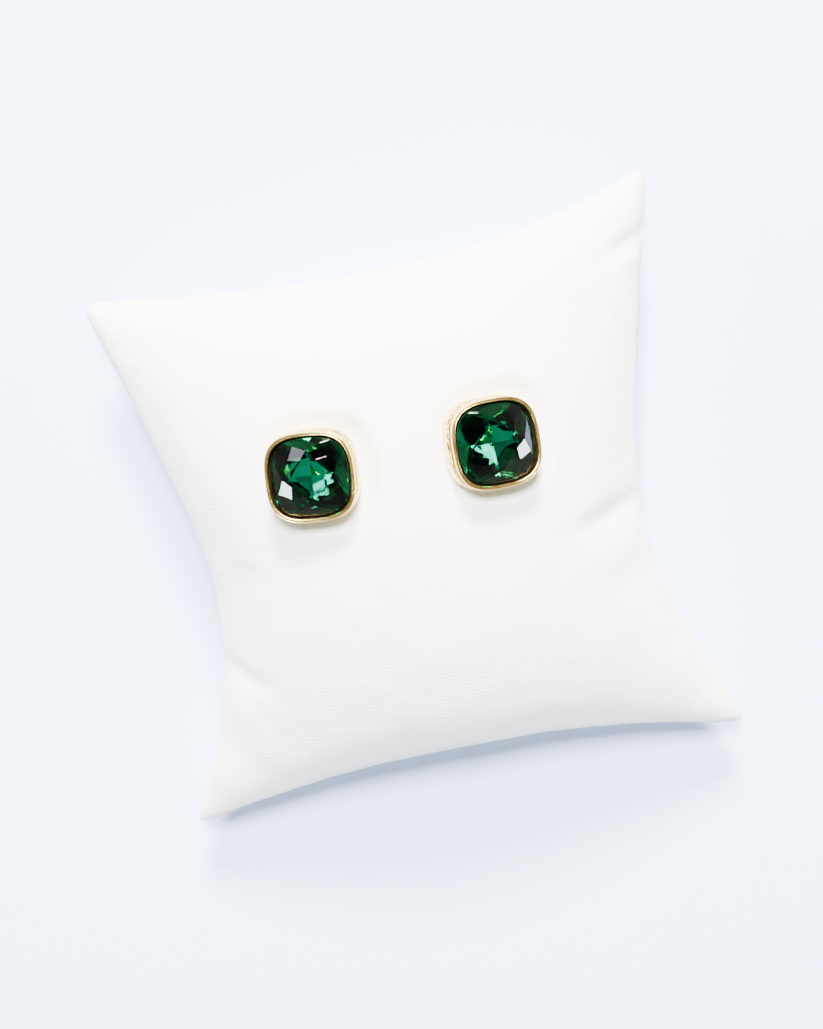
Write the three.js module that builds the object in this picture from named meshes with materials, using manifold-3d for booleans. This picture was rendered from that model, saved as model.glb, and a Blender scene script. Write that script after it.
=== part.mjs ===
// A pair of cushion-cut stud earrings pinned on a small stuffed display cushion.
// Millimetres, +Z up. X runs across the cushion and Y from its front side to its back side.
// The origin is on the surface that the cushion lies on, under the middle of the whole.

import * as THREE from "three";
import { ConvexGeometry } from "three/addons/geometries/ConvexGeometry.js";
import { mergeVertices } from "three/addons/utils/BufferGeometryUtils.js";
import Module from "manifold-3d";

const wasm = await Module();
wasm.setup();

// Display cushion
const cushionWidth = 81; // corner to corner, across
const cushionDepth = 81; // corner to corner, front to back
const crownRise = 15; // middle of the upper half above the seam
const bellyDrop = 14; // middle of the lower half below the seam, before it is pressed
const pressedDepth = 1.5; // how much of the lower half lies pressed flat
const plumpness = 0.6; // power of the swell from the seam inwards, smaller is fuller
const edgeRoll = 1; // how far each half rolls up or down from the seam at its very edge
const rollPower = 26; // how close to the seam it rolls, larger is closer
const cushionSteps = 32; // mesh steps across each half

// Stones
const stoneWidth = 10.7; // across the flats of the girdle
const crownHeight = 1.35;
const girdleThickness = 0.35;
const pavilionDepth = 3.3;
const squareness = 3; // power of the rounded square outline, larger is squarer

// Settings
const stoneClearance = 0.3; // between a stone and its cup
const rimWall = 0.54; // wall of the cup at its rim
const rimOverGirdle = 0.45; // rim above the stone's girdle
const floorThickness = 1.2; // metal under the stone's point
const lipHeight = 1; // smooth lip above the worked band
const lipGroove = 0.16; // groove along the top of the rim
const RIM = { edge: 0.25, groove: 0.45, ring: 0.65, inside: 0.85 }; // shares of the wall
const bandProud = 0.12; // worked band stands out from the lip
const footInset = 0.65; // foot draws in under the band
const footHeight = 1.2; // from the foot to the band
const outlineSteps = 32; // mesh steps round a setting

// Posts
const postDiameter = 0.8;
const postLength = 9.5; // below the setting's foot
const postSides = 12;

// How the studs sit
const seatDepth = 0.9; // how far a setting presses into the cushion
const seatClearance = 0.3; // between the metal and the cushion
const postSink = 0.3; // how deep the post's end is soldered into the foot

// How each side draws in between its corners: "draw" is a share of the cushion's size along the
// draw, "middle" says where it is deepest from -1 to 1, and the powers shape both stretches.
const SIDES = {
  back: { draw: 0.028, middle: -0.1, before: 2, after: 2 },
  front: { draw: 0.066, middle: 0, before: 2.2, after: 2.2 },
  left: { draw: 0.107, middle: -0.06, before: 1.9, after: 1.2 },
  right: { draw: 0.1, middle: -0.12, before: 1.4, after: 1.35 },
};

// Corner tips: "lift" is a share of the seam's height. "wide" and "deep" pull a tip outwards
// and "blunt" rounds it off, as shares of half the cushion's size.
const CORNERS = [
  { name: "back left", across: -1, along: 1, lift: 0, wide: 0.01, deep: 0.005, blunt: 0.024 },
  { name: "back right", across: 1, along: 1, lift: 0.04, wide: 0.012, deep: 0.1, blunt: 0.028 },
  { name: "front right", across: 1, along: -1, lift: -0.42, wide: 0.028, deep: 0.012, blunt: 0.024 },
  { name: "front left", across: -1, along: -1, lift: -0.42, wide: 0.035, deep: 0, blunt: 0.024 },
];
const pullPower = 3; // how close to its tip a corner is pulled, larger is closer
const droopPower = 1.5; // how far into the cushion a corner's lift reaches, larger is less
const tipPower = 30; // how close to its tip a corner is rounded off, larger is closer

// Folds and swells of the upper face. Places and lengths are shares of half the cushion's size
// and depths are shares of the crown's rise, with swells below zero.
const FOLDS = [
  { name: "right pinch", across: 0.68, along: -0.05, turn: 8, long: 0.16, wide: 0.04, depth: 0.1 },
  { name: "right swell", across: 0.71, along: -0.19, turn: 30, long: 0.1, wide: 0.07, depth: -0.06 },
  { name: "left pinch", across: -0.71, along: -0.39, turn: -34, long: 0.11, wide: 0.035, depth: 0.06 },
  { name: "left swell", across: -0.76, along: -0.53, turn: 70, long: 0.08, wide: 0.06, depth: -0.05 },
  { name: "tip pinch", across: 0.89, along: 0.85, turn: 18, long: 0.1, wide: 0.035, depth: 0.08 },
];

// Studs: places are shares of half the cushion's size on its upper face. "leanRight" and
// "leanBack" tip the stud from the cushion's own slope, and "turn" twists it, in degrees.
const STUDS = [
  { name: "left", across: -0.365, along: 0.32, leanRight: 5, leanBack: 0, turn: -4.5 },
  { name: "right", across: 0.336, along: 0.308, leanRight: 5.5, leanBack: -0.5, turn: -1.5 },
];

// Where the stone's facets meet: "reach" is a share of the girdle's radius in that direction,
// "level" a share of the crown's height or of the pavilion's depth, and "turn" an angle from
// the flats in degrees.
const CUT = {
  table: { reach: 0.47 },
  star: { reach: 0.7 },
  kite: { turn: 22.5, reach: 0.86, level: 0.38 },
  lowerGirdle: { reach: 0.82, level: 0.3 },
  cornerBreak: { reach: 0.62, level: 0.44 },
  flatBreak: { reach: 0.52 },
};

// Sizes that follow from the ones above
const seamHeight = bellyDrop - pressedDepth;
const stoneHalf = stoneWidth / 2;
const cupHalf = stoneHalf + stoneClearance;
const rimHalf = cupHalf + rimWall;
const girdleBottom = floorThickness + 2 * stoneClearance + pavilionDepth;
const rimTop = girdleBottom + girdleThickness + rimOverGirdle;
const flatBreakLevel = levelOfFlatBreak();

const MATERIALS = {
  cloth: new THREE.MeshStandardMaterial({ color: 0xf4f1ea, roughness: 0.85, metalness: 0 }),
  metal: new THREE.MeshStandardMaterial({ color: 0xe3bf8c, roughness: 0.25, metalness: 1 }),
  glass: new THREE.MeshStandardMaterial({ color: 0x0a6b4b, roughness: 0.05, metalness: 0.1 }),
};

// Mesh helpers

// Joins rings of points into one closed skin. A ring of one point closes an end.
function skin(rings) {
  const positions = [];
  const addFace = (a, b, c) => positions.push(...a, ...b, ...c);
  for (let level = 0; level + 1 < rings.length; level += 1) {
    const lower = rings[level];
    const upper = rings[level + 1];
    const count = Math.max(lower.length, upper.length);
    for (let step = 0; step < count; step += 1) {
      const next = (step + 1) % count;
      if (lower.length > 1) {
        addFace(lower[step], lower[next], upper[upper.length > 1 ? next : 0]);
      }
      if (upper.length > 1) {
        addFace(lower[lower.length > 1 ? step : 0], upper[next], upper[step]);
      }
    }
  }
  const geometry = new THREE.BufferGeometry();
  geometry.setAttribute("position", new THREE.Float32BufferAttribute(positions, 3));
  return geometry;
}

function toSolid(geometry) {
  const bare = geometry.clone();
  bare.deleteAttribute("normal");
  bare.deleteAttribute("uv");
  const merged = mergeVertices(bare, 1e-4);
  return new wasm.Manifold(
    new wasm.Mesh({
      numProp: 3,
      vertProperties: new Float32Array(merged.attributes.position.array),
      triVerts: new Uint32Array(merged.index.array),
    }),
  );
}

function toGeometry(solid) {
  const mesh = solid.getMesh();
  const geometry = new THREE.BufferGeometry();
  geometry.setAttribute("position", new THREE.BufferAttribute(mesh.vertProperties, 3));
  geometry.setIndex(new THREE.BufferAttribute(mesh.triVerts, 1));
  geometry.computeVertexNormals();
  return geometry;
}

// Outline shared by the stones and the settings

// Radius of a rounded square of the given half width, in a direction in radians.
function outlineRadius(half, angle) {
  const across = Math.abs(Math.cos(angle)) ** squareness;
  const along = Math.abs(Math.sin(angle)) ** squareness;
  return half / (across + along) ** (1 / squareness);
}

function outlineRing(half, height) {
  const ring = [];
  for (let step = 0; step < outlineSteps; step += 1) {
    const angle = (step / outlineSteps) * 2 * Math.PI;
    const radius = outlineRadius(half, angle);
    ring.push([radius * Math.cos(angle), radius * Math.sin(angle), height]);
  }
  return ring;
}

// Level at which the large lower facets meet along the flats, so that each stays in one plane.
function levelOfFlatBreak() {
  const cornerReach = CUT.cornerBreak.reach * outlineRadius(stoneHalf, Math.PI / 4);
  const breakRatio = (CUT.flatBreak.reach * stoneHalf) / cornerReach;
  return 1 - ((1 - CUT.cornerBreak.level) * breakRatio) / Math.SQRT2;
}

// Height above the girdle at which two neighbouring kites meet, as a share of the crown's.
function starLevel() {
  const kiteTurn = THREE.MathUtils.degToRad(CUT.kite.turn);
  const kiteSlope = (1 - CUT.kite.level) / (CUT.kite.reach - CUT.table.reach);
  const kiteRadius = outlineRadius(stoneHalf, kiteTurn);
  const alongKite = (CUT.star.reach * stoneHalf * Math.cos(kiteTurn)) / kiteRadius;
  return 1 - (alongKite - CUT.table.reach) * kiteSlope;
}

// Stone: an eight-sided table, stars, eight kites and steep girdle facets above, and four large
// facets that meet in a point below, with two rows of smaller ones round them. The setting's
// foot is at height 0.
function makeStone() {
  const kiteTurn = THREE.MathUtils.degToRad(CUT.kite.turn);
  const kiteRadius = outlineRadius(stoneHalf, kiteTurn);
  const cornerRadius = outlineRadius(stoneHalf, Math.PI / 4);
  const meetTurn = Math.atan2(Math.SQRT2 * cornerRadius - stoneHalf, stoneHalf);
  const flatTurns = [0, 90, 180, 270].map(THREE.MathUtils.degToRad);
  const cornerTurns = flatTurns.map((turn) => turn + Math.PI / 4);
  const beside = (away) => flatTurns.flatMap((turn) => [turn - away, turn + away]);
  const kiteTurns = beside(kiteTurn);
  const meetTurns = beside(meetTurn);
  const girdleTop = girdleBottom + girdleThickness;
  const points = [];
  const addPoints = (turns, radius, height) => {
    for (const turn of turns) {
      points.push(new THREE.Vector3(radius * Math.cos(turn), radius * Math.sin(turn), height));
    }
  };
  const crown = (level) => girdleTop + level * crownHeight;
  const pavilion = (level) => girdleBottom - level * pavilionDepth;
  const meetRadius = CUT.lowerGirdle.reach * outlineRadius(stoneHalf, meetTurn);
  addPoints(kiteTurns, CUT.table.reach * kiteRadius, crown(1));
  addPoints([...flatTurns, ...cornerTurns], CUT.star.reach * stoneHalf, crown(starLevel()));
  addPoints(kiteTurns, CUT.kite.reach * kiteRadius, crown(CUT.kite.level));
  for (const height of [girdleTop, girdleBottom]) {
    points.push(...outlineRing(stoneHalf, height).map((place) => new THREE.Vector3(...place)));
  }
  addPoints(meetTurns, meetRadius, pavilion(CUT.lowerGirdle.level));
  addPoints(cornerTurns, CUT.cornerBreak.reach * cornerRadius, pavilion(CUT.cornerBreak.level));
  addPoints(flatTurns, CUT.flatBreak.reach * stoneHalf, pavilion(flatBreakLevel));
  addPoints([0], 0, pavilion(1));
  return new ConvexGeometry(points);
}

// Setting: a cup with a drawn-in foot, a worked band that stands out, a smooth lip and a
// grooved rim, hollow inside like the stone and soldered to its post.
function makeSetting() {
  const bandHalf = rimHalf + bandProud;
  const lipBottom = rimTop - lipHeight;
  const hollowRing = (reach, level) =>
    outlineRing(
      reach * stoneHalf + stoneClearance,
      girdleBottom - level * pavilionDepth - stoneClearance,
    );
  const cup = skin([
    [[0, 0, 0]],
    outlineRing(rimHalf - footInset, 0),
    outlineRing(rimHalf - footInset / 3, footHeight / 4),
    outlineRing(bandHalf, footHeight),
    outlineRing(bandHalf, lipBottom - 2 * lipGroove),
    outlineRing(rimHalf - lipGroove / 2, lipBottom),
    outlineRing(rimHalf, lipBottom + lipGroove),
    outlineRing(rimHalf, rimTop - lipGroove),
    outlineRing(rimHalf - rimWall * RIM.edge, rimTop),
    outlineRing(rimHalf - rimWall * RIM.groove, rimTop - lipGroove),
    outlineRing(rimHalf - rimWall * RIM.ring, rimTop),
    outlineRing(rimHalf - rimWall * RIM.inside, rimTop),
    outlineRing(cupHalf, rimTop - lipGroove),
    hollowRing(1, 0),
    hollowRing(CUT.lowerGirdle.reach, CUT.lowerGirdle.level),
    hollowRing(CUT.flatBreak.reach, flatBreakLevel),
    [[0, 0, floorThickness]],
  ]);
  const post = new THREE.CylinderGeometry(
    postDiameter / 2,
    postDiameter / 2,
    postLength + postSink,
    postSides,
  );
  post.rotateX(Math.PI / 2);
  post.translate(0, 0, (postSink - postLength) / 2);
  return toGeometry(toSolid(cup).add(toSolid(post)));
}

// The room that a stud takes in the cushion: its foot's seat and its post's hole.
function makeSeatTool() {
  const seatHalf = rimHalf + bandProud + seatClearance;
  const seatTop = rimTop + crownHeight;
  const seat = skin([
    [[0, 0, -seatClearance]],
    outlineRing(seatHalf - footInset, -seatClearance),
    outlineRing(seatHalf, footHeight - seatClearance),
    outlineRing(seatHalf, seatTop),
    [[0, 0, seatTop]],
  ]);
  const holeRadius = postDiameter / 2 + seatClearance;
  const holeLength = postLength + seatClearance;
  const hole = new THREE.CylinderGeometry(holeRadius, holeRadius, holeLength, postSides);
  hole.rotateX(Math.PI / 2);
  hole.translate(0, 0, -holeLength / 2);
  return toSolid(seat).add(toSolid(hole));
}

// Cushion

// How far a side has drawn in at a place from -1 to 1 along it, as a share of the size.
function drawnIn(side, place) {
  const before = place < side.middle;
  const reach = before ? side.middle + 1 : 1 - side.middle;
  const power = before ? side.before : side.after;
  return side.draw * (1 - (Math.abs(place - side.middle) / reach) ** power);
}

function swell(place) {
  return Math.max(0, 1 - place * place) ** plumpness;
}

// How much a place belongs to a corner, from 0 in the middle to 1 at the corner's tip.
function nearness(corner, u, v, power) {
  return (Math.max(0, corner.across * u) * Math.max(0, corner.along * v)) ** power;
}

// Place on the seam's plan and its height, for u across and v along from -1 to 1.
function seamPoint(u, v) {
  const right = cushionWidth * (0.5 - drawnIn(SIDES.right, v));
  const left = -cushionWidth * (0.5 - drawnIn(SIDES.left, v));
  const back = cushionDepth * (0.5 - drawnIn(SIDES.back, u));
  const front = -cushionDepth * (0.5 - drawnIn(SIDES.front, u));
  const point = new THREE.Vector3(
    THREE.MathUtils.lerp(left, right, (u + 1) / 2),
    THREE.MathUtils.lerp(front, back, (v + 1) / 2),
    seamHeight,
  );
  for (const corner of CORNERS) {
    const blunt = corner.blunt * nearness(corner, u, v, tipPower);
    const pull = nearness(corner, u, v, pullPower);
    point.x += (corner.across * (corner.wide * pull - blunt) * cushionWidth) / 2;
    point.y += (corner.along * (corner.deep * pull - blunt) * cushionDepth) / 2;
    point.z += corner.lift * seamHeight * nearness(corner, u, v, droopPower);
  }
  return point;
}

// Depth of the folds at a place on the plan.
function foldDepth(x, y) {
  let depth = 0;
  for (const fold of FOLDS) {
    const turn = THREE.MathUtils.degToRad(fold.turn);
    const dx = x / (cushionWidth / 2) - fold.across;
    const dy = y / (cushionDepth / 2) - fold.along;
    const along = (dx * Math.cos(turn) + dy * Math.sin(turn)) / fold.long;
    const across = (dy * Math.cos(turn) - dx * Math.sin(turn)) / fold.wide;
    depth += fold.depth * crownRise * Math.exp(-along * along - across * across);
  }
  return depth;
}

// How far the cloth has rolled up or down from the seam.
function rolled(u, v) {
  return edgeRoll * Math.sqrt((1 - Math.abs(u) ** rollPower) * (1 - Math.abs(v) ** rollPower));
}

function upperPoint(u, v) {
  const point = seamPoint(u, v);
  const fullness = swell(u) * swell(v);
  point.z += crownRise * fullness + rolled(u, v);
  point.z -= foldDepth(point.x, point.y) * Math.cbrt(fullness);
  return point;
}

function lowerPoint(u, v) {
  const point = seamPoint(u, v);
  point.z = Math.max(0, point.z - bellyDrop * swell(u) * swell(v) - rolled(u, v));
  return point;
}

// Mesh places from -1 to 1, closer together near the seam.
function gridPlace(step) {
  const even = (2 * step) / cushionSteps - 1;
  return (even + Math.sin((even * Math.PI) / 2)) / 2;
}

function makeCushionBody() {
  const positions = [];
  const addSheet = (place, facesUp) => {
    const corner = (i, j) => place(gridPlace(i), gridPlace(j)).toArray();
    for (let i = 0; i < cushionSteps; i += 1) {
      for (let j = 0; j < cushionSteps; j += 1) {
        const quad = [corner(i, j), corner(i + 1, j), corner(i + 1, j + 1), corner(i, j + 1)];
        const [a, b, c, d] = facesUp ? quad : quad.reverse();
        positions.push(...a, ...b, ...c, ...a, ...c, ...d);
      }
    }
  };
  addSheet(upperPoint, true);
  addSheet(lowerPoint, false);
  const geometry = new THREE.BufferGeometry();
  geometry.setAttribute("position", new THREE.Float32BufferAttribute(positions, 3));
  return toSolid(geometry);
}

// Where a stud's foot stands and how it leans, as one matrix.
function studMatrix(stud) {
  const reach = 0.02;
  const u = stud.across;
  const v = stud.along;
  const place = upperPoint(u, v);
  const acrossSlope = upperPoint(u + reach, v).sub(upperPoint(u - reach, v));
  const alongSlope = upperPoint(u, v + reach).sub(upperPoint(u, v - reach));
  const up = acrossSlope.clone().cross(alongSlope).normalize();
  up.applyAxisAngle(new THREE.Vector3(0, 1, 0), THREE.MathUtils.degToRad(stud.leanRight));
  up.applyAxisAngle(new THREE.Vector3(1, 0, 0), -THREE.MathUtils.degToRad(stud.leanBack));
  const along = up.clone().cross(new THREE.Vector3(1, 0, 0)).normalize();
  along.applyAxisAngle(up, THREE.MathUtils.degToRad(stud.turn));
  const across = along.clone().cross(up);
  return new THREE.Matrix4()
    .makeBasis(across, along, up)
    .setPosition(place.addScaledVector(up, -seatDepth));
}

function namedMesh(name, geometry, material) {
  const mesh = new THREE.Mesh(geometry, material);
  mesh.name = name;
  return mesh;
}

function makeStud(stud) {
  const group = new THREE.Group();
  group.add(namedMesh(`setting_${stud.name}`, makeSetting(), MATERIALS.metal));
  group.add(namedMesh(`stone_${stud.name}`, makeStone(), MATERIALS.glass));
  group.applyMatrix4(studMatrix(stud));
  return group;
}

function makeCushion() {
  let body = makeCushionBody();
  for (const stud of STUDS) {
    body = body.subtract(makeSeatTool().transform(studMatrix(stud).elements));
  }
  return namedMesh("cushion", toGeometry(body), MATERIALS.cloth);
}

const group = new THREE.Group();
group.add(makeCushion());
for (const stud of STUDS) {
  group.add(makeStud(stud));
}

// The origin moves under the middle of the whole.
group.updateMatrixWorld(true);
const middle = new THREE.Box3().setFromObject(group).getCenter(new THREE.Vector3());
group.position.set(-middle.x, -middle.y, 0);

export default group;
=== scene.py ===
"""Looks for a pair of cushion-cut stud earrings pinned on a small stuffed display cushion."""

import math
import random

import bmesh
import bpy
from mathutils import Matrix, Vector, noise
from mathutils.kdtree import KDTree


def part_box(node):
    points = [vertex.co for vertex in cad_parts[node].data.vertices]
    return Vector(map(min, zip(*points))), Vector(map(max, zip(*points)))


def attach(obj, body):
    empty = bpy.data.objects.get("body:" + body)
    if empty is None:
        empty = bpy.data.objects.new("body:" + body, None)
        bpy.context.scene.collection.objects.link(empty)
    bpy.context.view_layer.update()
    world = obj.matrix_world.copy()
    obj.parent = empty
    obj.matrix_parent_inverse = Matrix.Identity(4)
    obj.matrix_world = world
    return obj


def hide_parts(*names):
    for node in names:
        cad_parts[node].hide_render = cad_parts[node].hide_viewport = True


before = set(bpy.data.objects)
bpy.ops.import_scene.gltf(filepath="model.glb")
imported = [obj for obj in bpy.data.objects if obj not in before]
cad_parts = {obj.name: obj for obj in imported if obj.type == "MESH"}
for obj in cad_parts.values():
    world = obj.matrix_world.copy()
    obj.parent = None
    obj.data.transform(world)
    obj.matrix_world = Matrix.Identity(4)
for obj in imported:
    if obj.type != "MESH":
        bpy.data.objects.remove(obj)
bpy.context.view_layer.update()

MM = 0.001
SEED = 7
SIDE_NAMES = ("left", "right")

# Camera, from the corners of the cushion in the photograph, in millimetres and degrees
CAMERA_TARGET = (-0.9, -0.45, 12.0)
CAMERA_DISTANCE = 430.0
CAMERA_LEAN = 14.0
CAMERA_TURN = 11.2
CAMERA_YAW = -3.0
FOCAL_PIXELS = 3000.0
FRAME_LONG_SIDE = 1029.0
SENSOR = 36.0

# Sky: how closely a direction points to the camera, as a cosine, and the colour seen there
SKY = (
    (0.3, (0.62, 0.6, 0.56)),
    (0.58, (0.25, 0.24, 0.22)),
    (0.96, (0.02, 0.02, 0.022)),
)

# Lamps: "turn" from the back towards the right and "rise" in degrees, "size" in metres and
# "power" in watts. A facet of each stone mirrors one of the side lamps.
LAMP_DISTANCE = 1.3
LAMP_TARGET = (0.0, 0.0, 0.02)
DAYLIGHT = (0.98, 0.98, 1.0)
MINT = (0.8, 1.0, 0.96)
LILAC = (0.85, 0.8, 1.0)
LAMPS = (
    {"name": "key", "turn": 4, "rise": 62, "size": 0.26, "power": 90.0, "colour": DAYLIGHT},
    {"name": "low_key", "turn": 8, "rise": 35, "size": 0.26, "power": 124.0, "colour": DAYLIGHT},
    {"name": "left_side", "turn": -105, "rise": 35, "size": 0.2, "power": 8.0, "colour": MINT},
    {"name": "right_side", "turn": 108, "rise": 21, "size": 0.2, "power": 8.0, "colour": MINT},
    {"name": "back_left", "turn": -35, "rise": 40, "size": 0.18, "power": 0.7, "colour": LILAC},
)

# Cushion, in millimetres. The powers say how close to the seam or to a corner a form stays:
# the larger, the closer.
SEAM_HEIGHT = 12.5
CROWN_RISE = 15.0
BELLY_DROP = 14.0
EDGE_ROLL = 1.0
ROLL_POWER = 26
PLUMPNESS = 0.6
TIP_POWER = 30
PULL_POWER = 3
LIFT_POWER = 1.5
HALF_SIZE = 40.5
GRID_STEPS = 84
RIPPLE_FLOOR = 0.4  # the cloth has no ripples lower than this
FOLD_SLOPE = 0.05  # folds start where the cloth faces upwards by more than this
FOLD_FADE = 0.4  # and are full where it does so by this much more
RIPPLES = ({"wave": 6.0, "height": 0.16}, {"wave": 2.2, "height": 0.045})

# Sewn line, in millimetres: how far inside the seam, how wide, how far from the seam it is
# looked for, how deep between the stitches and how much deeper at them
SEWN_INSIDE = 1.2
SEWN_WIDTH = 0.4
SEWN_REACH = 3.0
SEWN_DEPTH = 0.09
STITCH_DEPTH = 0.1
STITCH_TURN = 1.35  # radians of the stitches' wave from one point of the seam to the next

# Dimples under the studs, in millimetres: how far round and below a stud's foot they are
# looked for, how far they reach under its edge, how deep they are there, how steeply and how
# roundly they open, and how soft their edge is
DIMPLE_REACH = 14.0
DIMPLE_BELOW = 6.0
DIMPLE_OVERLAP = 0.55
DIMPLE_DEPTH = 0.08
DIMPLE_SLOPE = 0.16
DIMPLE_ROUNDNESS = 0.11
DIMPLE_SOFTNESS = 0.25

# Cloth simulation, which runs on a larger cover. Lengths are in millimetres.
SIM_SCALE = 10.0
SIM_FRAMES = 20
SIM_PRESSURE = 3.0
MOST_MOVEMENT = 0.9
TIP_REACH = 30.0  # the movement fades this near a corner's tip

# How each side draws in between its corners: "draw" is a share of the cushion's size, "middle"
# says where it is deepest from -1 to 1, and the powers shape both stretches.
SIDES = {
    "back": {"draw": 0.028, "middle": -0.1, "before": 2.0, "after": 2.0},
    "front": {"draw": 0.066, "middle": 0.0, "before": 2.2, "after": 2.2},
    "left": {"draw": 0.107, "middle": -0.06, "before": 1.9, "after": 1.2},
    "right": {"draw": 0.1, "middle": -0.12, "before": 1.4, "after": 1.35},
}

# Corners: "lift" is a share of the seam's height, and how far a corner is pulled out and
# blunted are shares of half the cushion's size.
CORNERS = (
    {"across": -1, "along": 1, "lift": 0.0, "wide": 0.01, "deep": 0.005, "blunt": 0.024},
    {"across": 1, "along": 1, "lift": 0.04, "wide": 0.012, "deep": 0.1, "blunt": 0.028},
    {"across": 1, "along": -1, "lift": -0.42, "wide": 0.028, "deep": 0.012, "blunt": 0.024},
    {"across": -1, "along": -1, "lift": -0.42, "wide": 0.035, "deep": 0.0, "blunt": 0.024},
)

# Folds on the upper half: places and sizes are shares of half the cushion's size, "turn" is in
# degrees and "depth" in millimetres, below zero where the cloth swells.
FOLDS = (
    {"across": 0.68, "along": -0.05, "turn": 8, "long": 0.13, "wide": 0.042, "depth": 1.3},
    {"across": 0.71, "along": -0.17, "turn": 20, "long": 0.1, "wide": 0.07, "depth": -1.0},
    {"across": -0.71, "along": -0.39, "turn": -34, "long": 0.1, "wide": 0.042, "depth": 0.9},
    {"across": -0.76, "along": -0.53, "turn": 70, "long": 0.08, "wide": 0.06, "depth": -0.8},
    {"across": 0.89, "along": 0.85, "turn": 18, "long": 0.09, "wide": 0.036, "depth": 1.2},
    {"across": -0.9, "along": -0.8, "turn": 60, "long": 0.08, "wide": 0.05, "depth": -0.6},
)

# Settings and stones, in millimetres, as in the solids
SQUARENESS = 3.0
STONE_HALF = 5.35
STONE_CLEARANCE = 0.3
RIM_WALL = 0.54
FLOOR = 1.2
PAVILION_DEPTH = 3.3
GIRDLE = 0.35
RIM_OVER_GIRDLE = 0.45
LIP_HEIGHT = 1.0
LIP_GROOVE = 0.16
BAND_PROUD = 0.12
FOOT_INSET = 0.65
FOOT_HEIGHT = 1.2
POST_RADIUS = 0.4
POST_LENGTH = 9.5
CUP_HALF = STONE_HALF + STONE_CLEARANCE
RIM_HALF = CUP_HALF + RIM_WALL
GIRDLE_BOTTOM = FLOOR + 2 * STONE_CLEARANCE + PAVILION_DEPTH
RIM_TOP = GIRDLE_BOTTOM + GIRDLE + RIM_OVER_GIRDLE
LIP_BOTTOM = RIM_TOP - LIP_HEIGHT
BAND_TOP = LIP_BOTTOM - 2 * LIP_GROOVE

# Breaks of the stones' backs, which the cups follow, as shares of the half width and the depth
LOWER_GIRDLE = {"reach": 0.82, "level": 0.3}
FLAT_BREAK = {"reach": 0.52, "level": 0.715}

# Steps of the meshes
OUTLINE_STEPS = 320
BAND_ROWS = 30
POST_SIDES = 32

# Stones, in millimetres and degrees: how near the points are that become one, the turn under
# which two faces are one facet, how far the worn edges are set back, and the slope, as a
# cosine, under which a facet belongs to the girdle
MERGE_DISTANCE = 0.004
FLAT_TURN = 0.6
WORN_EDGE = 0.012
GIRDLE_SLOPE = 0.05

# Marks worked into the band, in millimetres
MARK_ROWS = ({"height": 1.1, "weight": 0.4}, {"height": 2.45, "weight": 1.0})
MARK_SPACING = 0.62
OUTLINE_LENGTH = 1.06  # of the band, as a share of a circle's
MARK_REACH = 0.9
MARK_TURN = 0.2  # radians, a little more than the reach
DEEPEST_MARK = 0.3
PATINA_DEPTH = 0.1  # marks deeper than this are dark
CASTING_WOBBLE = 0.035

# Materials of the settings and of the stones, by their numbers on the mesh
# The inside slot is painted shade: the rim's inner wall and the cup are darkened to stand for their
# shade and the dark stone's reflection.
PLATING, PAINTED_SHADE_INSIDE, PATINA = 0, 1, 2
GLASS, FOIL, GROUND = 0, 1, 2


# Mesh helpers


def new_object(name, mesh):
    obj = bpy.data.objects.new(name, mesh)
    bpy.context.scene.collection.objects.link(obj)
    return obj


def mesh_from(name, points, faces):
    """A mesh whose doubled points are merged and whose faces point outwards."""
    mesh = bpy.data.meshes.new(name)
    mesh.from_pydata([tuple(p) for p in points], [], faces)
    work = bmesh.new()
    work.from_mesh(mesh)
    bmesh.ops.remove_doubles(work, verts=work.verts, dist=0.002 * MM)
    bmesh.ops.recalc_face_normals(work, faces=work.faces)
    work.to_mesh(mesh)
    work.free()
    return mesh


def shade_smooth(mesh):
    for polygon in mesh.polygons:
        polygon.use_smooth = True


def apply_modifiers(obj):
    """Replaces the object's mesh by the one that its modifiers give."""
    graph = bpy.context.evaluated_depsgraph_get()
    result = bpy.data.meshes.new_from_object(obj.evaluated_get(graph))
    obj.modifiers.clear()
    obj.data = result


# Material helpers


def new_material(name):
    """A node material and its Principled shader."""
    material = bpy.data.materials.new(name)
    material.use_nodes = True
    return material, material.node_tree.nodes["Principled BSDF"]


def link(material, start, end):
    material.node_tree.links.new(start, end)


def noise_node(material, coordinates, scale, detail=3.0, roughness=0.5):
    node = material.node_tree.nodes.new("ShaderNodeTexNoise")
    node.inputs["Scale"].default_value = scale
    node.inputs["Detail"].default_value = detail
    node.inputs["Roughness"].default_value = roughness
    link(material, coordinates, node.inputs["Vector"])
    return node


def ramp_node(material, value, stops):
    """A colour ramp with (place, colour) stops."""
    node = material.node_tree.nodes.new("ShaderNodeValToRGB")
    ramp = node.color_ramp
    while len(ramp.elements) < len(stops):
        ramp.elements.new(0.5)
    for element, (place, colour) in zip(ramp.elements, stops):
        element.position = place
        element.color = (*colour, 1.0)
    link(material, value, node.inputs["Fac"])
    return node


def grey(value):
    return (value, value, value)


def object_places(material, scale=(1.0, 1.0, 1.0), turn=(0.0, 0.0, 0.0)):
    """The place on the object, in metres times the scale, after a turn in degrees."""
    nodes = material.node_tree.nodes
    coordinates = nodes.new("ShaderNodeTexCoord")
    mapping = nodes.new("ShaderNodeMapping")
    mapping.inputs["Scale"].default_value = scale
    mapping.inputs["Rotation"].default_value = [math.radians(angle) for angle in turn]
    link(material, coordinates.outputs["Object"], mapping.inputs["Vector"])
    return mapping.outputs["Vector"]


def bump_node(material, height, strength, distance, before=None):
    node = material.node_tree.nodes.new("ShaderNodeBump")
    node.inputs["Strength"].default_value = strength
    node.inputs["Distance"].default_value = distance
    link(material, height, node.inputs["Height"])
    if before is not None:
        link(material, before, node.inputs["Normal"])
    return node.outputs["Normal"]


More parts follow.
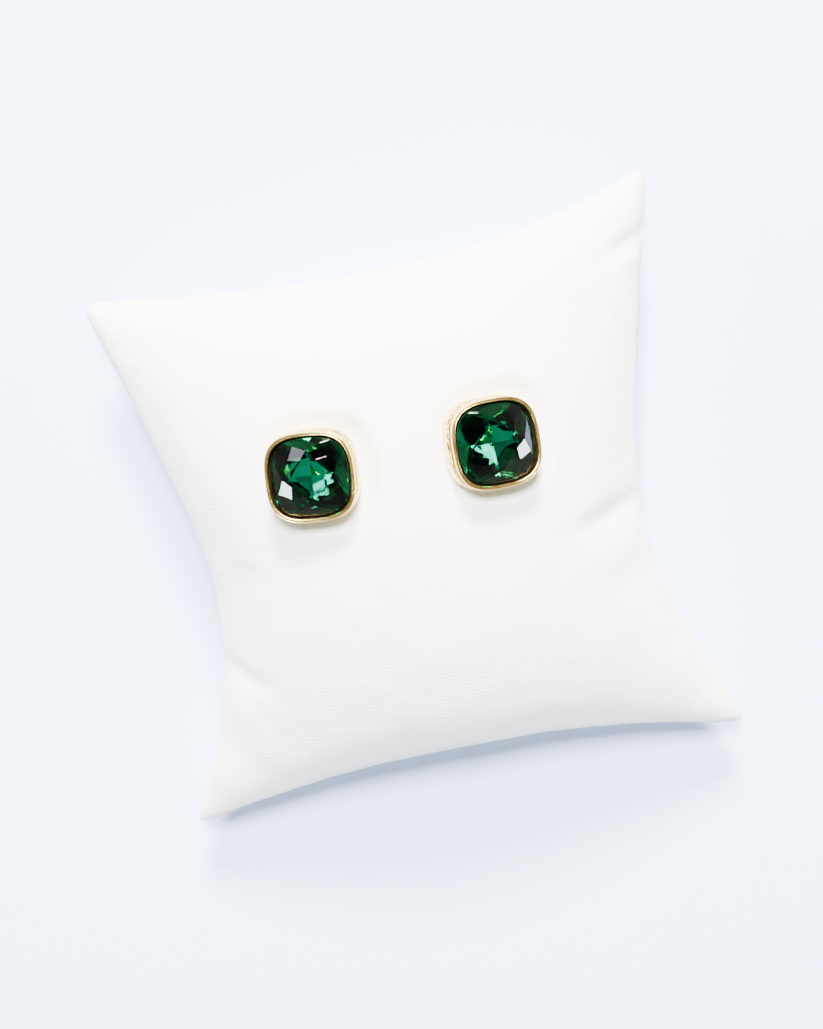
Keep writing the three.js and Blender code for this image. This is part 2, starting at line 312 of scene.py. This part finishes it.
def wave_node(material, coordinates, scale, direction, distortion):
    node = material.node_tree.nodes.new("ShaderNodeTexWave")
    node.wave_type = "BANDS"
    node.bands_direction = direction
    node.inputs["Scale"].default_value = scale
    node.inputs["Distortion"].default_value = distortion
    node.inputs["Detail"].default_value = 2.0
    node.inputs["Detail Scale"].default_value = 1.2
    link(material, coordinates, node.inputs["Vector"])
    return node


# Materials


def cloth_material():
    """Off-white woven cloth: fine threads both ways, slubs, and faint uneven tone."""
    material, shader = new_material("cushion_cloth")
    places = object_places(material)
    patches = noise_node(material, places, 55.0, 4.0, 0.6)
    tone = ramp_node(
        material,
        patches.outputs["Fac"],
        [(0.3, (0.88, 0.85, 0.79)), (0.7, (0.91, 0.885, 0.83))],
    )
    link(material, tone.outputs["Color"], shader.inputs["Base Color"])
    shader.inputs["Roughness"].default_value = 0.85
    shader.inputs["Specular IOR Level"].default_value = 0.25
    shader.inputs["Sheen Weight"].default_value = 0.25
    shader.inputs["Sheen Roughness"].default_value = 0.5
    across = wave_node(material, places, 520.0, "Y", 1.5)
    along = wave_node(material, places, 600.0, "X", 1.5)
    slub_places = object_places(material, (240.0, 2400.0, 2400.0))
    slubs = noise_node(material, slub_places, 1.0, 2.0, 0.55)
    normal = bump_node(material, across.outputs["Fac"], 0.36, 0.04 * MM)
    normal = bump_node(material, along.outputs["Fac"], 0.25, 0.04 * MM, normal)
    normal = bump_node(material, slubs.outputs["Fac"], 0.6, 0.08 * MM, normal)
    creases = noise_node(material, places, 160.0, 3.0, 0.5)
    normal = bump_node(material, creases.outputs["Fac"], 0.4, 0.3 * MM, normal)
    link(material, normal, shader.inputs["Normal"])
    return material


def gold_material(name, light, dark, roughness, grain):
    """Pale gold plating with small casting marks and a slightly uneven polish."""
    material, shader = new_material(name)
    places = object_places(material)
    patches = noise_node(material, places, 900.0, 4.0, 0.65)
    tone = ramp_node(material, patches.outputs["Fac"], [(0.25, dark), (0.65, light)])
    link(material, tone.outputs["Color"], shader.inputs["Base Color"])
    shader.inputs["Metallic"].default_value = 1.0
    polish = ramp_node(
        material,
        noise_node(material, places, 1600.0, 3.0, 0.6).outputs["Fac"],
        [(0.3, grey(roughness)), (0.75, grey(roughness + 0.14))],
    )
    link(material, polish.outputs["Color"], shader.inputs["Roughness"])
    striae_places = object_places(material, (9000.0, 9000.0, 1600.0), (25.0, 25.0, 0.0))
    striae = noise_node(material, striae_places, 1.0, 2.0, 0.6)
    normal = bump_node(material, striae.outputs["Fac"], grain, 0.05 * MM)
    normal = bump_node(material, patches.outputs["Fac"], grain, 0.06 * MM, normal)
    link(material, normal, shader.inputs["Normal"])
    return material


def glass_material():
    """Clear emerald-green pressed glass, faintly wavy and scratched."""
    material, shader = new_material("stone_glass")
    places = object_places(material)
    tone = ramp_node(
        material,
        noise_node(material, places, 300.0, 2.0).outputs["Fac"],
        [(0.35, (0.0, 0.66, 0.45)), (0.65, (0.006, 0.74, 0.52))],
    )
    link(material, tone.outputs["Color"], shader.inputs["Base Color"])
    shader.inputs["Transmission Weight"].default_value = 1.0
    shader.inputs["IOR"].default_value = 1.56
    scratches = noise_node(material, places, 4000.0, 3.0)
    wear = ramp_node(material, scratches.outputs["Fac"], [(0.4, grey(0.0)), (0.8, grey(0.05))])
    link(material, wear.outputs["Color"], shader.inputs["Roughness"])
    waves = noise_node(material, places, 420.0, 1.0)
    normal = bump_node(material, waves.outputs["Fac"], 0.5, 0.09 * MM)
    link(material, normal, shader.inputs["Normal"])
    return material


def foil_material():
    """Silvered back of the stone, tinted by the glass in front of it."""
    material, shader = new_material("stone_foil")
    places = object_places(material)
    tone = ramp_node(
        material,
        noise_node(material, places, 500.0, 2.0).outputs["Fac"],
        [(0.35, (0.02, 0.6, 0.42)), (0.65, (0.03, 0.66, 0.47))],
    )
    link(material, tone.outputs["Color"], shader.inputs["Base Color"])
    shader.inputs["Metallic"].default_value = 1.0
    shader.inputs["Roughness"].default_value = 0.03
    return material


def stone_edge_material():
    """The stone's ground edge, which lets no light through."""
    material, shader = new_material("stone_edge")
    places = object_places(material)
    tone = ramp_node(
        material,
        noise_node(material, places, 900.0, 2.0).outputs["Fac"],
        [(0.35, (0.0, 0.03, 0.015)), (0.65, (0.004, 0.05, 0.03))],
    )
    link(material, tone.outputs["Color"], shader.inputs["Base Color"])
    shader.inputs["Roughness"].default_value = 0.45
    return material


def floor_material():
    """Pale, faintly blue painted surface."""
    material, shader = new_material("floor_paint")
    places = object_places(material)
    tone = ramp_node(
        material,
        noise_node(material, places, 6.0, 3.0).outputs["Fac"],
        [(0.3, (0.62, 0.71, 0.99)), (0.7, (0.64, 0.73, 1.0))],
    )
    link(material, tone.outputs["Color"], shader.inputs["Base Color"])
    shader.inputs["Roughness"].default_value = 0.6
    return material


# Outline shared by the stones and the settings


def outline_radius(half, angle):
    across = abs(math.cos(angle)) ** SQUARENESS
    along = abs(math.sin(angle)) ** SQUARENESS
    return half / (across + along) ** (1 / SQUARENESS)


def stud_frame(side):
    """Matrix of a stud, in metres: the foot's middle, and axes across, along and up it.

    The stone's largest face is its table, which gives the way up, and the farthest points from
    the stud's axis are the girdle's corners, which give the turn.
    """
    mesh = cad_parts[f"stone_{side}"].data
    areas = {}
    for polygon in mesh.polygons:
        key = tuple(round(value, 2) for value in polygon.normal)
        areas.setdefault(key, [0.0, Vector()])
        areas[key][0] += polygon.area
        areas[key][1] += polygon.normal * polygon.area
    up = max(areas.values(), key=lambda entry: entry[0])[1].normalized()
    points = [vertex.co.copy() for vertex in mesh.vertices]
    heights = [point.dot(up) for point in points]
    culet = points[heights.index(min(heights))]
    spokes = [(point - culet) - up * (point - culet).dot(up) for point in points]
    reach = max(spoke.length for spoke in spokes)
    corners = [spoke for spoke in spokes if spoke.length > 0.995 * reach]
    corner = max(corners, key=lambda spoke: spoke.x + spoke.y)
    across = Matrix.Rotation(math.radians(-45), 3, up) @ corner.normalized()
    along = up.cross(across)
    foot = culet - up * (FLOOR + 2 * STONE_CLEARANCE) * MM
    matrix = Matrix((across, along, up)).transposed().to_4x4()
    matrix.translation = foot
    return matrix


# Settings


def foot_and_band():
    """Half widths and heights up the foot's edge, and up the worked band."""
    band = RIM_HALF + BAND_PROUD
    foot = [
        (RIM_HALF - FOOT_INSET, 0.0),
        (RIM_HALF - FOOT_INSET * 0.75, 0.05),
        (RIM_HALF - FOOT_INSET * 0.4, 0.3),
        (RIM_HALF - 0.1, 0.75),
        (band - 0.02, FOOT_HEIGHT),
    ]
    rise = BAND_TOP - FOOT_HEIGHT
    rows = [(band, FOOT_HEIGHT + rise * row / BAND_ROWS) for row in range(1, BAND_ROWS)]
    return foot, rows


def rim_stretches():
    """Half widths and heights outside, in and inside the groove between the rim's rings."""
    outside = [
        (RIM_HALF + BAND_PROUD - 0.03, BAND_TOP),
        (RIM_HALF - 0.07, BAND_TOP + 0.1),
        (RIM_HALF - 0.09, LIP_BOTTOM - 0.1),
        (RIM_HALF - 0.02, LIP_BOTTOM + 0.05),
        (RIM_HALF + 0.01, LIP_BOTTOM + 0.45),
        (RIM_HALF, RIM_TOP - 0.2),
        (RIM_HALF - 0.03, RIM_TOP - 0.08),
        (RIM_HALF - 0.08, RIM_TOP - 0.02),
        (RIM_HALF - 0.12, RIM_TOP - 0.02),
    ]
    groove = [
        (RIM_HALF - 0.15, RIM_TOP - 0.07),
        (RIM_HALF - 0.16, RIM_TOP - 0.22),
        (RIM_HALF - 0.31, RIM_TOP - 0.22),
        (RIM_HALF - 0.32, RIM_TOP - 0.07),
    ]
    inside = [
        (RIM_HALF - 0.36, RIM_TOP - 0.01),
        (RIM_HALF - 0.42, RIM_TOP),
        (RIM_HALF - 0.48, RIM_TOP - 0.04),
        (RIM_HALF - 0.52, RIM_TOP - 0.13),
        (CUP_HALF, RIM_TOP - 0.24),
    ]
    return outside, groove, inside


def cup_row(break_line):
    """Half width and height of the cup where it follows a break of the stone's back."""
    half = break_line["reach"] * STONE_HALF + STONE_CLEARANCE
    return half, GIRDLE_BOTTOM - break_line["level"] * PAVILION_DEPTH - STONE_CLEARANCE


def setting_section():
    """Half widths and heights from the foot's edge to the cup's floor.

    With them come the rows that are worked, the rows of the worn groove and the cup's first.
    """
    foot, band = foot_and_band()
    outside, groove, inside = rim_stretches()
    cup = [
        (CUP_HALF, GIRDLE_BOTTOM + 0.1),
        (CUP_HALF, GIRDLE_BOTTOM - STONE_CLEARANCE),
        cup_row(LOWER_GIRDLE),
        cup_row(FLAT_BREAK),
        (0.3, FLOOR + 0.1),
    ]
    worked = range(len(foot) - 1, len(foot) + len(band))
    groove_start = len(foot + band + outside)
    worn = range(groove_start, groove_start + len(groove) - 1)
    cup_start = groove_start + len(groove + inside) - 1
    return foot + band + outside + groove + inside + cup, worked, worn, cup_start


def band_marks(rng):
    """Places, sizes and slants of the small marks that are worked into the band."""
    marks = []
    perimeter = 2 * math.pi * RIM_HALF * OUTLINE_LENGTH
    count = int(perimeter / MARK_SPACING)
    for row in MARK_ROWS:
        for index in range(count):
            marks.append(
                {
                    "turn": (index + rng.uniform(-0.28, 0.28)) / count * 2 * math.pi,
                    "height": FOOT_HEIGHT + row["height"] + rng.uniform(-0.22, 0.22),
                    "long": rng.uniform(0.35, 0.75),
                    "wide": rng.uniform(0.14, 0.26),
                    "slant": math.radians(rng.uniform(50, 110)),
                    "depth": row["weight"] * rng.uniform(0.05, 0.5),
                }
            )
    return marks


def turn_between(start, end):
    """The shortest turn from one direction to another, in radians."""
    return (end - start + math.pi) % (2 * math.pi) - math.pi


def mark_depth(marks, angle, radius, height):
    """How deep the worked marks reach at a place on the band, in millimetres."""
    depth = 0.0
    for mark in marks:
        around = turn_between(mark["turn"], angle) * radius
        rise = height - mark["height"]
        if abs(around) > MARK_REACH or abs(rise) > MARK_REACH:
            continue
        cosine, sine = math.cos(mark["slant"]), math.sin(mark["slant"])
        along = (around * cosine + rise * sine) / mark["long"]
        across = (rise * cosine - around * sine) / mark["wide"]
        depth += mark["depth"] * math.exp(-along * along - across * across)
    return depth


def setting_points(side, section, worked, marks):
    """The points of each row of the section, and how deep the marks reach at each point."""
    angles = [step / OUTLINE_STEPS * 2 * math.pi for step in range(OUTLINE_STEPS)]
    nearby = [
        [mark for mark in marks if abs(turn_between(mark["turn"], angle)) < MARK_TURN]
        for angle in angles
    ]
    points = []
    depths = []
    for row, (half, height) in enumerate(section):
        for angle, near in zip(angles, nearby):
            radius = outline_radius(half, angle)
            depth = 0.0
            if row in worked:
                depth = mark_depth(near, angle, radius, height)
                wobble = noise.noise(Vector((angle * 9, height * 1.4, len(side))))
                radius += CASTING_WOBBLE * wobble - min(depth, DEEPEST_MARK)
            depths.append(depth)
            points.append((radius * math.cos(angle), radius * math.sin(angle), height))
    return points, depths


def ring_face(row, step, count):
    """The corners of one face between a ring of points and the next ring."""
    after = (step + 1) % count
    low = row * count
    return (low + step, low + after, low + count + after, low + count + step)


def setting_faces(section, worn, cup_start, depths):
    """The faces round the section, and the slot of each one's material."""
    faces = []
    slots = []
    for row in range(len(section) - 1):
        for step in range(OUTLINE_STEPS):
            face = ring_face(row, step, OUTLINE_STEPS)
            depth = sum(depths[number] for number in face) / 4
            dark = depth > PATINA_DEPTH or row in worn
            faces.append(face)
            # Rows from the cup's first down take the inside slot, whose dark colour is painted
            # shade and painted reflection of the stone.
            slots.append(PAINTED_SHADE_INSIDE if row >= cup_start else PATINA if dark else PLATING)
    return faces, slots


def close_setting(points, faces, slots):
    """Adds the foot's underside and the cup's floor."""
    last = len(points) - OUTLINE_STEPS
    foot_centre = len(points)
    cup_centre = foot_centre + 1
    points += [(0.0, 0.0, 0.0), (0.0, 0.0, FLOOR)]
    for step in range(OUTLINE_STEPS):
        after = (step + 1) % OUTLINE_STEPS
        faces += [(foot_centre, after, step), (cup_centre, last + step, last + after)]
        # The cup's floor takes the inside slot, darkened as painted shade.
        slots += [PLATING, PAINTED_SHADE_INSIDE]


def make_setting(side, matrix, materials, rng):
    """The cup with its drawn-in foot, worked band and grooved rim."""
    section, worked, worn, cup_start = setting_section()
    points, depths = setting_points(side, section, worked, band_marks(rng))
    faces, slots = setting_faces(section, worn, cup_start, depths)
    close_setting(points, faces, slots)
    mesh = bpy.data.meshes.new(f"setting_{side}_fine")
    mesh.from_pydata([Vector(p) * MM for p in points], [], faces)
    for polygon, slot in zip(mesh.polygons, slots):
        polygon.material_index = slot
    shade_smooth(mesh)
    mesh.transform(matrix)
    for material in materials:
        mesh.materials.append(material)
    setting = new_object(f"gold_setting_{side}", mesh)
    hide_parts(f"setting_{side}")
    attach(setting, "root")


def make_post(side, matrix, material):
    """The ear post, soldered under the foot, with a rounded end and a notch for a clasp."""
    profile = [
        (0.0, -POST_LENGTH),
        (0.22, -POST_LENGTH + 0.03),
        (0.36, -POST_LENGTH + 0.16),
        (POST_RADIUS, -POST_LENGTH + 0.4),
        (POST_RADIUS, -POST_LENGTH + 1.6),
        (POST_RADIUS - 0.07, -POST_LENGTH + 1.8),
        (POST_RADIUS - 0.07, -POST_LENGTH + 2.1),
        (POST_RADIUS, -POST_LENGTH + 2.3),
        (POST_RADIUS, -0.35),
        (POST_RADIUS + 0.25, -0.02),
        (0.0, -0.02),
    ]
    angles = [step / POST_SIDES * 2 * math.pi for step in range(POST_SIDES)]
    points = [
        Vector((radius * math.cos(angle), radius * math.sin(angle), height)) * MM
        for radius, height in profile
        for angle in angles
    ]
    rows = range(len(profile) - 1)
    faces = [ring_face(row, step, POST_SIDES) for row in rows for step in range(POST_SIDES)]
    mesh = mesh_from(f"post_{side}", points, faces)
    shade_smooth(mesh)
    mesh.transform(matrix)
    mesh.materials.append(material)
    post = new_object(f"ear_post_{side}", mesh)
    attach(post, "root")


# Stones


def stone_facets(side):
    """The solid's stone with each facet as one face, and with its edges worn."""
    work = bmesh.new()
    work.from_mesh(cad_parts[f"stone_{side}"].data)
    bmesh.ops.remove_doubles(work, verts=work.verts, dist=MERGE_DISTANCE * MM)
    bmesh.ops.dissolve_limit(
        work,
        angle_limit=math.radians(FLAT_TURN),
        verts=work.verts,
        edges=work.edges,
        use_dissolve_boundaries=False,
    )
    bmesh.ops.bevel(
        work,
        geom=list(work.edges),
        offset=WORN_EDGE * MM,
        offset_type="OFFSET",
        segments=1,
        profile=0.5,
        affect="EDGES",
    )
    bmesh.ops.recalc_face_normals(work, faces=work.faces)
    work.verts.index_update()
    return work


def make_stone(side, matrix, materials):
    """The cut glass stone: clear above, silvered below, and ground round its edge."""
    work = stone_facets(side)
    up = matrix.to_3x3().col[2].normalized()
    slopes = [face.normal.dot(up) for face in work.faces]
    points = [vertex.co.copy() for vertex in work.verts]
    faces = [[vertex.index for vertex in face.verts] for face in work.faces]
    work.free()
    mesh = bpy.data.meshes.new(f"stone_{side}_fine")
    mesh.from_pydata(points, [], faces)
    for material in materials:
        mesh.materials.append(material)
    for polygon, slope in zip(mesh.polygons, slopes):
        polygon.material_index = GLASS if slope > 0 else FOIL
        if abs(slope) <= GIRDLE_SLOPE:
            polygon.material_index = GROUND
    stone = new_object(f"cut_stone_{side}", mesh)
    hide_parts(f"stone_{side}")
    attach(stone, "root")


# Cushion


def drawn_in(side, place):
    """How far a side is drawn in at a place along it, as a share of the cushion's size."""
    before = place < side["middle"]
    reach = side["middle"] + 1 if before else 1 - side["middle"]
    power = side["before"] if before else side["after"]
    return side["draw"] * (1 - (abs(place - side["middle"]) / reach) ** power)


def swell(place):
    """How full the cushion is from the middle, where it is 1, to the seam, where it is 0."""
    return max(0.0, 1 - place * place) ** PLUMPNESS


def nearness(corner, u, v, power):
    """How near a place is to a corner, from 0 on the middle lines to 1 at the corner."""
    return (max(0.0, corner["across"] * u) * max(0.0, corner["along"] * v)) ** power


def seam_point(u, v):
    """Place on the seam's plan and its height, in millimetres, before centring."""
    size = 2 * HALF_SIZE
    right = size * (0.5 - drawn_in(SIDES["right"], v))
    left = -size * (0.5 - drawn_in(SIDES["left"], v))
    back = size * (0.5 - drawn_in(SIDES["back"], u))
    front = -size * (0.5 - drawn_in(SIDES["front"], u))
    x = left + (right - left) * (u + 1) / 2
    y = front + (back - front) * (v + 1) / 2
    z = SEAM_HEIGHT
    for corner in CORNERS:
        blunt = corner["blunt"] * nearness(corner, u, v, TIP_POWER)
        pull = nearness(corner, u, v, PULL_POWER)
        x += corner["across"] * (corner["wide"] * pull - blunt) * HALF_SIZE
        y += corner["along"] * (corner["deep"] * pull - blunt) * HALF_SIZE
        z += corner["lift"] * SEAM_HEIGHT * nearness(corner, u, v, LIFT_POWER)
    return Vector((x, y, z))


def seam_edge(places):
    """Points along the whole seam, at these places along each side."""
    edge = [seam_point(u, v) for v in (-1, 1) for u in places]
    return edge + [seam_point(u, v) for u in (-1, 1) for v in places]


def fold_depth(x, y):
    """How deep the folds reach at a place on the plan, in millimetres."""
    depth = 0.0
    for fold in FOLDS:
        turn = math.radians(fold["turn"])
        dx = x / HALF_SIZE - fold["across"]
        dy = y / HALF_SIZE - fold["along"]
        along = (dx * math.cos(turn) + dy * math.sin(turn)) / fold["long"]
        across = (dy * math.cos(turn) - dx * math.sin(turn)) / fold["wide"]
        depth += fold["depth"] * math.exp(-along * along - across * across)
    return depth


def grid_place(step):
    """Where a line of the grid runs, from -1 to 1 and closer together towards the seam."""
    even = 2 * step / GRID_STEPS - 1
    return (even + math.sin(even * math.pi / 2)) / 2


def cushion_shift():
    """From the plan's own middle to the frame's origin, in millimetres."""
    low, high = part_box("cushion")
    edge = seam_edge([grid_place(step) for step in range(GRID_STEPS + 1)])
    middle_x = (min(p.x for p in edge) + max(p.x for p in edge)) / 2
    middle_y = (min(p.y for p in edge) + max(p.y for p in edge)) / 2
    x = (low.x + high.x) / 2 / MM - middle_x
    y = (low.y + high.y) / 2 / MM - middle_y
    return Vector((x, y, 0.0))


def cushion_mesh():
    """Both halves of the cushion as one closed grid that shares its points along the seam."""
    shift = cushion_shift()
    last = GRID_STEPS
    points = []
    numbers = {}
    seam = set()
    for half in ("upper", "lower"):
        for i in range(last + 1):
            for j in range(last + 1):
                on_seam = i in (0, last) or j in (0, last)
                if half == "lower" and on_seam:
                    numbers[half, i, j] = numbers["upper", i, j]
                    continue
                numbers[half, i, j] = len(points)
                if on_seam:
                    seam.add(len(points))
                points.append((cushion_point(half, grid_place(i), grid_place(j)) + shift) * MM)
    faces = []
    for half in ("upper", "lower"):
        for i in range(last):
            for j in range(last):
                quad = [numbers[half, i, j], numbers[half, i + 1, j]]
                quad += [numbers[half, i + 1, j + 1], numbers[half, i, j + 1]]
                faces.append(quad if half == "upper" else quad[::-1])
    mesh = bpy.data.meshes.new("cushion_fine")
    mesh.from_pydata(points, [], faces)
    keep_seam_sharp(mesh, seam)
    return mesh


def cushion_point(half, u, v):
    """Place of one point of the cover, in millimetres, before centring."""
    point = seam_point(u, v)
    fullness = swell(u) * swell(v)
    roll = EDGE_ROLL * math.sqrt((1 - abs(u) ** ROLL_POWER) * (1 - abs(v) ** ROLL_POWER))
    if half == "upper":
        point.z += CROWN_RISE * fullness + roll
    else:
        point.z = max(0.0, point.z - BELLY_DROP * fullness - roll)
    return point


def keep_seam_sharp(mesh, seam):
    """Creases the seam's edges and corners, so that the subdivision doesn't draw them in."""
    creases = mesh.attributes.new("crease_edge", "FLOAT", "EDGE")
    for edge in mesh.edges:
        if edge.vertices[0] in seam and edge.vertices[1] in seam:
            creases.data[edge.index].value = 1.0
    corners = mesh.attributes.new("crease_vert", "FLOAT", "POINT")
    last = GRID_STEPS
    for i in (0, last):
        for j in (0, last):
            corners.data[i * (last + 1) + j].value = 1.0


def corner_tips():
    """The seam's four corners, in metres."""
    shift = cushion_shift()
    return [(seam_point(u, v) + shift) * MM for u in (-1, 1) for v in (-1, 1)]


def simulate_cover(obj):
    """Where the filling's pressure moves the cover's points to, without gravity."""
    obj.data.transform(Matrix.Scale(SIM_SCALE, 4))
    cloth = obj.modifiers.new("cloth", "CLOTH")
    settings = cloth.settings
    settings.quality = 6
    settings.mass = 0.3
    settings.tension_stiffness = 25.0
    settings.compression_stiffness = 12.0
    settings.shear_stiffness = 8.0
    settings.bending_stiffness = 0.4
    settings.use_pressure = True
    settings.uniform_pressure_force = SIM_PRESSURE
    settings.effector_weights.gravity = 0.0
    settings.shrink_min = -0.02
    cloth.point_cache.frame_start = 1
    cloth.point_cache.frame_end = SIM_FRAMES
    scene = bpy.context.scene
    for step in range(1, SIM_FRAMES + 1):
        scene.frame_set(step)
    graph = bpy.context.evaluated_depsgraph_get()
    settled = obj.evaluated_get(graph).to_mesh()
    moved = [vertex.co / SIM_SCALE for vertex in settled.vertices]
    obj.evaluated_get(graph).to_mesh_clear()
    obj.modifiers.clear()
    scene.frame_set(1)
    return moved


def settle_cloth(obj):
    """Lets the cover find its own small unevenness, and holds it still at the corners."""
    rest = [vertex.co.copy() for vertex in obj.data.vertices]
    moved = simulate_cover(obj)
    cap = MOST_MOVEMENT * MM
    tips = corner_tips()
    for vertex, start, end in zip(obj.data.vertices, rest, moved):
        step = end - start
        if step.length > cap:
            step *= cap / step.length
        to_tip = min((start - tip).length for tip in tips) / MM
        vertex.co = start + step * min(1.0, to_tip / TIP_REACH)
    obj.data.update()


def seat_dimple(point, matrices):
    """Lowers a point of the upper face so that it passes under each stud's foot."""
    for inverse, matrix in matrices:
        local = inverse @ point
        x, y = local.x / MM, local.y / MM
        radius = math.hypot(x, y)
        if radius > DIMPLE_REACH or local.z < -DIMPLE_BELOW * MM:
            continue
        edge = outline_radius(RIM_HALF, math.atan2(y, x))
        outside = max(0.0, radius - edge + DIMPLE_OVERLAP)
        ceiling = DIMPLE_SLOPE * outside + DIMPLE_ROUNDNESS * outside * outside - DIMPLE_DEPTH
        height = local.z / MM
        if height > ceiling - DIMPLE_SOFTNESS:
            excess = (height - ceiling) / DIMPLE_SOFTNESS
            rise = DIMPLE_SOFTNESS * math.log1p(math.exp(min(30.0, excess)))
            local.z = (height - rise) * MM
            point = matrix @ local
    return point


def finish_cushion_shape(obj, matrices):
    """Adds the folds, the dimples under the studs and a fine unevenness."""
    shift = cushion_shift() * MM
    obj.data.update()
    normals = [vertex.normal.copy() for vertex in obj.data.vertices]
    for vertex, normal in zip(obj.data.vertices, normals):
        point = vertex.co.copy()
        x, y = (point.x - shift.x) / MM, (point.y - shift.y) / MM
        if normal.z > FOLD_SLOPE:
            fade = min(1.0, (normal.z - FOLD_SLOPE) / FOLD_FADE)
            point.z -= fold_depth(x, y) * fade * MM
            point = seat_dimple(point, matrices)
        ripple = sum(noise.noise(point / (r["wave"] * MM)) * r["height"] for r in RIPPLES)
        if point.z > RIPPLE_FLOOR * MM:
            point += normal * ripple * MM
        point.z = max(0.0, point.z)
        vertex.co = point


def sew_seam(obj):
    """Sinks a fine stitched line just inside the seam's edge on both halves."""
    shift = cushion_shift()
    count = GRID_STEPS * 6
    edge = seam_edge([2 * step / count - 1 for step in range(count + 1)])
    tree = KDTree(len(edge))
    for index, point in enumerate(edge):
        tree.insert((point + shift) * MM, index)
    tree.balance()
    for vertex in obj.data.vertices:
        index, distance = tree.find(vertex.co)[1:]
        away = distance / MM
        if away > SEWN_REACH:
            continue
        stitch = 0.5 + 0.5 * math.sin(index * STITCH_TURN)
        across = (away - SEWN_INSIDE) / SEWN_WIDTH
        groove = math.exp(-(across**2)) * (SEWN_DEPTH + STITCH_DEPTH * stitch)
        vertex.co -= vertex.normal * groove * MM


def make_cushion(material, frames):
    """The stuffed cushion, from its simulated cover to its folds and sewn line."""
    cushion = new_object("display_cushion", cushion_mesh())
    settle_cloth(cushion)
    matrices = [(matrix.inverted(), matrix) for matrix in frames.values()]
    smooth = cushion.modifiers.new("subdivision", "SUBSURF")
    smooth.levels = 1
    smooth.render_levels = 1
    apply_modifiers(cushion)
    finish_cushion_shape(cushion, matrices)
    sew_seam(cushion)
    shade_smooth(cushion.data)
    cushion.data.materials.append(material)
    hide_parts("cushion")
    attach(cushion, "root")


# Stage


def make_floor(material):
    mesh = bpy.data.meshes.new("floor")
    reach = 3.0
    corners = [(-reach, -reach, 0), (reach, -reach, 0), (reach, reach, 0), (-reach, reach, 0)]
    mesh.from_pydata(corners, [], [(0, 1, 2, 3)])
    mesh.materials.append(material)
    floor = new_object("floor", mesh)


def make_light(lamp):
    turn, rise = math.radians(lamp["turn"]), math.radians(lamp["rise"])
    level = LAMP_DISTANCE * math.cos(rise)
    place = Vector((level * math.sin(turn), level * math.cos(turn), LAMP_DISTANCE * math.sin(rise)))
    light = bpy.data.lights.new(lamp["name"], "AREA")
    light.shape = "SQUARE"
    light.size = lamp["size"]
    light.energy = lamp["power"]
    light.color = lamp["colour"]
    obj = new_object(lamp["name"], light)
    obj.location = place
    direction = Vector(LAMP_TARGET) - place
    obj.rotation_euler = direction.to_track_quat("-Z", "Y").to_euler()


def make_world():
    """A pale studio that is bright low down and dim overhead, where the camera is."""
    world = bpy.data.worlds.new("studio")
    world.use_nodes = True
    nodes = world.node_tree.nodes
    coordinates = nodes.new("ShaderNodeTexCoord")
    overhead = nodes.new("ShaderNodeVectorMath")
    overhead.operation = "DOT_PRODUCT"
    overhead.inputs[1].default_value = camera_axes()[2]
    link(world, coordinates.outputs["Generated"], overhead.inputs[0])
    ramp = ramp_node(world, overhead.outputs["Value"], SKY)
    ramp.color_ramp.interpolation = "EASE"
    background = nodes["Background"]
    background.inputs["Strength"].default_value = 1.0
    link(world, ramp.outputs["Color"], background.inputs["Color"])
    bpy.context.scene.world = world


def camera_axes():
    """The picture's right, up and towards the viewer, as directions of the frame."""
    lean, turn = math.radians(CAMERA_LEAN), math.radians(CAMERA_TURN)
    yaw = turn + math.radians(CAMERA_YAW)
    away = Vector((math.sin(lean) * math.sin(yaw), math.sin(lean) * math.cos(yaw), math.cos(lean)))
    picture_up = Vector((math.sin(turn), math.cos(turn), 0.0))
    right = picture_up.cross(away).normalized()
    return right, away.cross(right), away


def make_camera():
    right, up, away = camera_axes()
    data = bpy.data.cameras.new("camera")
    data.sensor_width = SENSOR
    data.lens = FOCAL_PIXELS / FRAME_LONG_SIDE * SENSOR
    data.clip_start = 0.01
    camera = new_object("camera", data)
    matrix = Matrix((right, up, away)).transposed().to_4x4()
    matrix.translation = (Vector(CAMERA_TARGET) + away * CAMERA_DISTANCE) * MM
    camera.matrix_world = matrix
    bpy.context.scene.camera = camera


def build():
    frames = {side: stud_frame(side) for side in SIDE_NAMES}
    plating = gold_material("gold_plating", (0.93, 0.69, 0.16), (0.78, 0.53, 0.1), 0.1, 0.3)
    # Dark bronze for the rim's inner wall and the cup: painted shade and painted reflection of the
    # dark stone, not the metal's own colour.
    inside_painted_shade = gold_material("gold_inside_painted_shade", (0.3, 0.18, 0.1), (0.14, 0.08, 0.05), 0.3, 0.2)
    patina = gold_material("gold_patina", (0.2, 0.11, 0.05), (0.07, 0.04, 0.02), 0.45, 0.3)
    stone_materials = [glass_material(), foil_material(), stone_edge_material()]
    rng = random.Random(SEED)
    for side, matrix in frames.items():
        make_setting(side, matrix, [plating, inside_painted_shade, patina], rng)
        make_post(side, matrix, plating)
        make_stone(side, matrix, stone_materials)
    make_cushion(cloth_material(), frames)
    make_floor(floor_material())
    make_world()
    for lamp in LAMPS:
        make_light(lamp)
    make_camera()


build()
